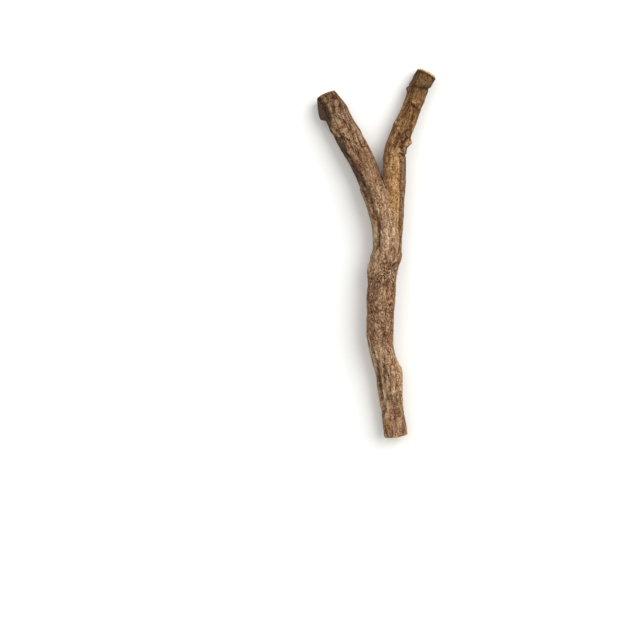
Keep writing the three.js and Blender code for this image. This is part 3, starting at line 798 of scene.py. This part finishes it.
def lay_down(p):
    """Drawing to table: less the ground's slope, worn flat where it rests, middle at the origin, in
    metres."""
    p = p.copy()
    ground = GROUND + GROUND_X * p[:, 0] + GROUND_Y * p[:, 1]
    p[:, 2] = np.maximum(p[:, 2] - ground - REST_FLAT, 0)
    p[:, :2] -= MIDDLE
    return p / MM_PER_M


def make_mesh(name, verts, quads, triangles, attributes):
    """A mesh object from arrays, with point attributes, shaded smooth."""
    mesh = bpy.data.meshes.new(name)
    loops = np.concatenate([np.concatenate(quads).ravel(), np.concatenate(triangles).ravel()])
    quad_count, triangle_count = sum(map(len, quads)), sum(map(len, triangles))
    sizes = np.concatenate([np.full(quad_count, 4), np.full(triangle_count, 3)])
    mesh.vertices.add(len(verts))
    mesh.vertices.foreach_set("co", verts.astype(np.float32).ravel())
    mesh.loops.add(len(loops))
    mesh.loops.foreach_set("vertex_index", loops.astype(np.int32))
    mesh.polygons.add(len(sizes))
    starts = np.concatenate([[0], np.cumsum(sizes)[:-1]])
    mesh.polygons.foreach_set("loop_start", starts.astype(np.int32))
    mesh.polygons.foreach_set("use_smooth", np.ones(len(sizes), bool))
    for attribute_name, kind, field, values in attributes:
        layer = mesh.attributes.new(attribute_name, kind, "POINT")
        layer.data.foreach_set(field, np.ascontiguousarray(values, np.float32).ravel())
    mesh.update(calc_edges=True)
    mesh.validate()
    obj = bpy.data.objects.new(name, mesh)
    bpy.context.scene.collection.objects.link(obj)
    return obj


all_places = lay_down(np.vstack(all_places))
x, y = (all_places[:, :2] * MM_PER_M + MIDDLE).T

# What each point gives to the bark's colour. The relief tone is 0 in the furrows and 1 on the ridges,
# and has more contrast on the right branch, the upper part of the left one and its painted-shade
# flank. It is partly the bark's own paler ridges and darker furrows, and partly painted shade in the
# furrows and painted highlight on the ridges.
share_right = side_share[:, 0]
contrast = 0.19 * (1 + 0.45 * np.maximum(share_right, ease(y, 136, 150)))
contrast[: len(painted_flank_shade)] *= 1 + 0.7 * painted_flank_shade * ease(y[: len(painted_flank_shade)], 96, 110)
# Painted shade in the broad hollows and painted highlight on the broad swellings of the large forms.
painted_relief_light = 0.12 * np.clip((form - form.mean()) / 0.4, -1, 1)
relief_tone_and_painted_light = 0.5 + contrast * detail / detail.std() + painted_relief_light + 0.35 * np.clip(line_height, -1, 1)
relief_tone_and_painted_light = np.clip(relief_tone_and_painted_light, 0, 1)

# `golden` is where the outer cork is gone: the right branch, less the brown edge on its right.
on_right = share_right * ease(y, 92, 106)
brown_edge = ease(x, 1.4, 2.6) * (1 - ease(y, 136, 142))
golden = on_right * (1 - 0.15 * ease(y, 133, 145)) * (1 - 0.75 * brown_edge)

# How much darker a stretch is: the right branch by height, its scar and its brown edge, the left
# branch by height, all above the lower trunk, the swollen joint, and the foot. To these the marks'
# darkness is added, with the painted shade of the left flank and of cracks, grooves and pits.
rises = 0.28 - 0.15 * ease(y, 108, 122) + 0.18 * ease(y, 130, 142)
darkening_and_painted_shade = on_right * (rises + 0.1 * ease(y, 156, 160) + 0.29 * ease(y, 167, 176))
darkening_and_painted_shade += on_right * 0.25 * bell(y, 146, 5.5) * ease(x, 0.5, 3)
darkening_and_painted_shade += on_right * 0.14 * ease(x, 1.4, 2.4) * (1 - ease(y, 134, 140))
darkening_and_painted_shade += (1 - share_right) * (0.3 * ease(y, 112, 124) + 0.2 * ease(y, 146, 160))
darkening_and_painted_shade += 0.07 * ease(y, 38, 50) + 0.24 * bell(y, 88, 10) + 0.11 * (1 - ease(y, 30, 40))
rust, pale = np.clip(rust, 0, 1), np.clip(pale, 0, 1)
# The marks' darkness, with its painted shade, goes on top; the stretches darken less where rusty.
darkening_and_painted_shade = np.clip(dark + darkening_and_painted_shade * (1 - 0.6 * rust), -0.4, 1)
skin = make_mesh(
    "root_bark",
    all_places,
    quads,
    triangles,
    [
        ("grain", "FLOAT_VECTOR", "vector", grain),
        ("relief_tone_and_painted_light", "FLOAT", "value", relief_tone_and_painted_light),
        ("golden", "FLOAT", "value", golden),
        ("rust", "FLOAT", "value", rust),
        ("pale", "FLOAT", "value", pale),
        ("darkening_and_painted_shade", "FLOAT", "value", darkening_and_painted_shade),
    ],
)


# Dried root bark: corky, dull and brown, paler on the ridges and dark in the furrows, partly as rubbed
# bark and partly as painted highlight and painted shade, with rust-coloured torn spots and a tan strip
# where the outer cork is gone. It has no gloss.
def linear(code):
    """sRGB hex to linear RGBA."""
    parts = [int(code[i : i + 2], 16) / 255 for i in (1, 3, 5)]
    return (*(c / 12.92 if c <= 0.04045 else ((c + 0.055) / 1.055) ** 2.4 for c in parts), 1)


def add_node(tree, kind, inputs=None, **settings):
    """Adds a node, sets its properties, and sets or links its inputs."""
    node = tree.nodes.new(kind)
    for key, value in settings.items():
        setattr(node, key, value)
    for key, value in (inputs or {}).items():
        if isinstance(value, bpy.types.NodeSocket):
            tree.links.new(value, node.inputs[key])
        else:
            node.inputs[key].default_value = value
    return node


def attribute(name, output="Fac"):
    """A point attribute."""
    return add_node(tree, "ShaderNodeAttribute", attribute_name=name).outputs[output]


def clouded(vector, scale, detail, roughness):
    """Fractal noise from 0 to 1, with cells 1 / scale across."""
    inputs = {"Vector": vector, "Scale": scale, "Detail": detail, "Roughness": roughness}
    return add_node(tree, "ShaderNodeTexNoise", inputs).outputs["Fac"]


def add_scaled(value, factor, term):
    """value * factor + term"""
    inputs = {0: value, 1: factor, 2: term}
    return add_node(tree, "ShaderNodeMath", inputs, operation="MULTIPLY_ADD").outputs[0]


def rescaled(value, low, high, top=1.0):
    """Takes low to 0 and high to top, straight between them and level outside."""
    inputs = {"Value": value, "From Min": low, "From Max": high, "To Max": top}
    return add_node(tree, "ShaderNodeMapRange", inputs).outputs["Result"]


def coloured(value, stops):
    """A colour ramp whose stops are each a position and a hex colour."""
    node = add_node(tree, "ShaderNodeValToRGB", {"Fac": value})
    ramp = node.color_ramp
    while len(ramp.elements) < len(stops):
        ramp.elements.new(0.5)
    for element, (position, code) in zip(ramp.elements, stops):
        element.position, element.color = position, linear(code)
    return node.outputs["Color"]


def mix_by(factor, a, b):
    """Mixes two colours by a factor."""
    inputs = {0: factor, 6: a, 7: b}
    return add_node(tree, "ShaderNodeMix", inputs, data_type="RGBA").outputs[2]


def finish_with(colour, tone, bump_height, roughness, specular):
    """Gives the shader its colour, a bump that follows the tone, in metres, and its dullness."""
    inputs = {"Height": tone, "Strength": 0.6, "Distance": bump_height}
    bump = add_node(tree, "ShaderNodeBump", inputs).outputs["Normal"]
    shader = tree.nodes["Principled BSDF"]
    tree.links.new(colour, shader.inputs["Base Color"])
    tree.links.new(bump, shader.inputs["Normal"])
    shader.inputs["Roughness"].default_value = roughness
    shader.inputs["Specular IOR Level"].default_value = specular


bark = bpy.data.materials.new("dried root bark")
bark.use_nodes = True
tree = bark.node_tree
grain_out = attribute("grain", "Vector")
stretched = {"Vector": grain_out, "Scale": (1.0, 0.28, 1.0)}
along_fibres = add_node(tree, "ShaderNodeMapping", stretched).outputs["Vector"]

# Streaks 0.43 mm wide and 1.6 mm long, flecks 0.53 mm across, clouds 12 mm across, and grey patches
# 5 mm wide and 17 mm long.
streaks = clouded(along_fibres, 2.3, 4.0, 0.72)
flecks = clouded(grain_out, 1.9, 3.0, 0.8)
clouds = clouded(grain_out, 0.085, 2.0, 0.5)
greys = clouded(along_fibres, 0.21, 2.0, 0.5)
# The tone follows the relief tone, so the ramps below carry its painted shade and painted highlight.
tone = add_scaled(streaks, 1.8, attribute("relief_tone_and_painted_light"))
tone = rescaled(add_scaled(flecks, 2.1, tone), 1.8, 3.1)
BROWN = [(0.08, "#2a190f"), (0.32, "#60422c"), (0.5, "#8b6749"), (0.68, "#a98767"), (0.92, "#dcc3a0")]
TAN = [(0.1, "#4a2f18"), (0.32, "#855b31"), (0.5, "#aa7c4d"), (0.68, "#c29766"), (0.9, "#e2c092")]
TORN = [(0.1, "#30190b"), (0.38, "#6e4322"), (0.62, "#9c683f"), (0.9, "#c69564")]
colour = mix_by(rescaled(clouds, 0.4, 0.7, 0.28), coloured(tone, BROWN), linear("#7c4f33"))
colour = mix_by(rescaled(greys, 0.5, 0.72, 0.2), colour, linear("#a08c74"))
colour = mix_by(attribute("golden"), colour, coloured(tone, TAN))
colour = mix_by(attribute("rust"), colour, coloured(tone, TORN))
colour = mix_by(attribute("pale"), colour, linear("#e6d5a4"))
colour = mix_by(rescaled(attribute("darkening_and_painted_shade"), 0.0, -0.4, 0.5), colour, linear("#c4a684"))
# Painted shade and darker bark: the positive part darkens towards a near-black brown.
colour = mix_by(rescaled(attribute("darkening_and_painted_shade"), 0.0, 1.0, 0.9), colour, linear("#2b1809"))
finish_with(colour, tone, 0.00025, 0.92, 0.22)
skin.data.materials.append(bark)
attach(skin, "root")
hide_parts("licorice_root")

# The cut wood at the three ends.
# Pale yellow, fibrous wood that the shears tore across, with rays that spread from the middle. It
# sits inside the bark's ring, and at the right tip it stands a little above the bark.
WOOD_RINGS = 26
WOOD_SKIRT = 1.3
WOOD_PIECES = [("foot_wood", 0.1), ("left_tip_wood", 0.1), ("right_tip_wood", 1.1)]


def wood_face(edge, middle, look, seed, proud):
    """Disc in polar rows, from the skirt inside the bark over a ragged edge to the middle. Its height
    is rays, which are noise that depends on the angle, torn grain, and an edge that stands up by about
    `proud` mm, as the cube of the distance from the middle."""
    arm = edge - middle
    angle = np.linspace(0, 2 * math.pi, len(edge), endpoint=False)
    shares = np.concatenate([[0.9, 1.0], np.linspace(1.02, 0.04, WOOD_RINGS)])
    drops = np.concatenate([[WOOD_SKIRT, 0.7], np.zeros(WOOD_RINGS)])
    share, around = np.meshgrid(shares, angle, indexing="ij")
    wheel = np.stack([np.cos(around), np.sin(around), np.zeros_like(around)], axis=-1)
    radius = np.linalg.norm(arm, axis=1).mean()

    def pattern(p, number):
        """Noise at each point of the disc's rows."""
        return noise(p.reshape(-1, 3), number + seed).reshape(share.shape)

    rays = pattern(wheel * 9 + (0, 0, seed), 51)
    torn = pattern(wheel * share[..., None] * radius / 1.1, 61)
    fray = pattern(wheel * 6 + (0, 0, 3.7), 71)
    height = 0.16 * rays * share + 0.16 * torn + proud * share**3 * (0.8 + 0.45 * fray)
    height = np.where(drops[:, None] > 0, -drops[:, None], height)
    verts = middle + arm[None] * share[..., None] + look * height[..., None]
    return verts, share, around, rays + 0.6 * torn, radius


pieces = []
for (edge, middle, look, is_foot), (name, proud) in zip(cuts, WOOD_PIECES):
    verts, share, around, fibre, radius = wood_face(edge, middle, look, len(pieces), proud)
    rows, columns = share.shape
    index = np.arange(rows * columns).reshape(rows, columns)
    front_hub, back_hub = rows * columns, rows * columns + 1
    hubs = np.stack([middle + look * 0.02, middle - look * WOOD_SKIRT])
    wood_quads = [join_rings(b, a) if is_foot else join_rings(a, b) for a, b in zip(index, index[1:])]
    first, last = index[0], index[-1]
    front_fan = np.stack([last, np.roll(last, -1), np.full(columns, front_hub)], axis=-1)
    back_fan = np.stack([np.roll(first, -1), first, np.full(columns, back_hub)], axis=-1)
    fans = [front_fan, back_fan] if is_foot else [front_fan[:, ::-1], back_fan[:, ::-1]]
    across, up = np.cos(around) * share * radius, np.sin(around) * share * radius
    polar = np.stack([across, up, around], axis=-1).reshape(-1, 3)
    attributes = [
        ("polar", "FLOAT_VECTOR", "vector", np.vstack([polar, np.zeros((2, 3))])),
        ("fibre", "FLOAT", "value", np.concatenate([0.5 + 0.4 * fibre.ravel(), [0.5, 0.5]])),
        ("spread", "FLOAT", "value", np.concatenate([share.ravel(), [0, 0]])),
    ]
    wood_verts = lay_down(np.vstack([verts.reshape(-1, 3), hubs]))
    pieces.append(make_mesh(name, wood_verts, wood_quads, fans, attributes))

wood = bpy.data.materials.new("torn licorice wood")
wood.use_nodes = True
tree = wood.node_tree

# Pores and fibre ends about 0.25 mm across, drawn at 0.35 mm so that they show.
pores = clouded(attribute("polar", "Vector"), 2.8, 3.0, 0.6)
wood_tone = rescaled(add_scaled(pores, 0.9, attribute("fibre")), 0.45, 1.45)
YELLOW = [(0.0, "#8d6a35"), (0.35, "#c4a260"), (0.65, "#e2cb8e"), (1.0, "#f3e6bd")]
towards_bark = rescaled(attribute("spread"), 0.86, 0.97, 0.25)
wood_colour = mix_by(towards_bark, coloured(wood_tone, YELLOW), linear("#8a6434"))
finish_with(wood_colour, wood_tone, 0.0002, 0.85, 0.25)
for piece in pieces:
    piece.data.materials.append(wood)
    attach(piece, "root")

# The table: a plain, pale, matt sheet under the root.
FLOOR_HALF = 6.0
floor_mesh = bpy.data.meshes.new("floor")
corners = [(i * FLOOR_HALF, j * FLOOR_HALF, 0) for i, j in ((-1, -1), (1, -1), (1, 1), (-1, 1))]
floor_mesh.from_pydata(corners, [], [(0, 1, 2, 3)])
floor = bpy.data.objects.new("floor", floor_mesh)
bpy.context.scene.collection.objects.link(floor)
paper = bpy.data.materials.new("matt white paper")
paper.use_nodes = True
paper_shader = paper.node_tree.nodes["Principled BSDF"]
paper_shader.inputs["Base Color"].default_value = linear("#f3f2ef")
paper_shader.inputs["Roughness"].default_value = 0.95
paper_shader.inputs["Specular IOR Level"].default_value = 0.1
floor_mesh.materials.append(paper)

# The studio: one broad lamp from the upper right, a weak one from the upper left, and a white room.
# Each lamp is a name, a width in metres, watts and a place, and faces the root.
LAMPS = [("key", 1.7, 36.0, (1.15, 0.65, 1.45)), ("fill", 1.4, 9.0, (-0.9, 0.7, 1.5))]
ROOM_STRENGTH = 0.55
for name, size, power, place_at in LAMPS:
    lamp_data = bpy.data.lights.new(name, "AREA")
    lamp_data.size, lamp_data.energy = size, power
    lamp = bpy.data.objects.new(name, lamp_data)
    lamp.location = place_at
    aim = math.atan2(math.hypot(place_at[0], place_at[1]), place_at[2])
    lamp.rotation_euler = (0, aim, math.atan2(place_at[1], place_at[0]))
    bpy.context.scene.collection.objects.link(lamp)
world = bpy.data.worlds.new("room")
bpy.context.scene.world = world
world.use_nodes = True
background = world.node_tree.nodes["Background"]
background.inputs["Color"].default_value = (1, 1, 1, 1)
background.inputs["Strength"].default_value = ROOM_STRENGTH
bpy.context.scene.view_settings.view_transform = "Standard"

# The camera: straight above the table, over the point that is in the middle of the photograph's frame.
PHOTO_WIDTH = 640
MM_PER_PIXEL = 0.5
ROOT_MIDDLE_PIXEL = (376.81, 252.48)
LENS, SENSOR = 85.0, 36.0
camera_data = bpy.data.cameras.new("camera")
camera_data.lens, camera_data.sensor_width = LENS, SENSOR
camera = bpy.data.objects.new("camera", camera_data)
frame_width = PHOTO_WIDTH * MM_PER_PIXEL / MM_PER_M
mid_height = (cad_low[2] + cad_high[2]) / 2
camera.location = (
    (PHOTO_WIDTH / 2 - ROOT_MIDDLE_PIXEL[0]) * MM_PER_PIXEL / MM_PER_M,
    (ROOT_MIDDLE_PIXEL[1] - PHOTO_WIDTH / 2) * MM_PER_PIXEL / MM_PER_M,
    mid_height + frame_width * LENS / SENSOR,
)
bpy.context.scene.collection.objects.link(camera)
bpy.context.scene.camera = camera
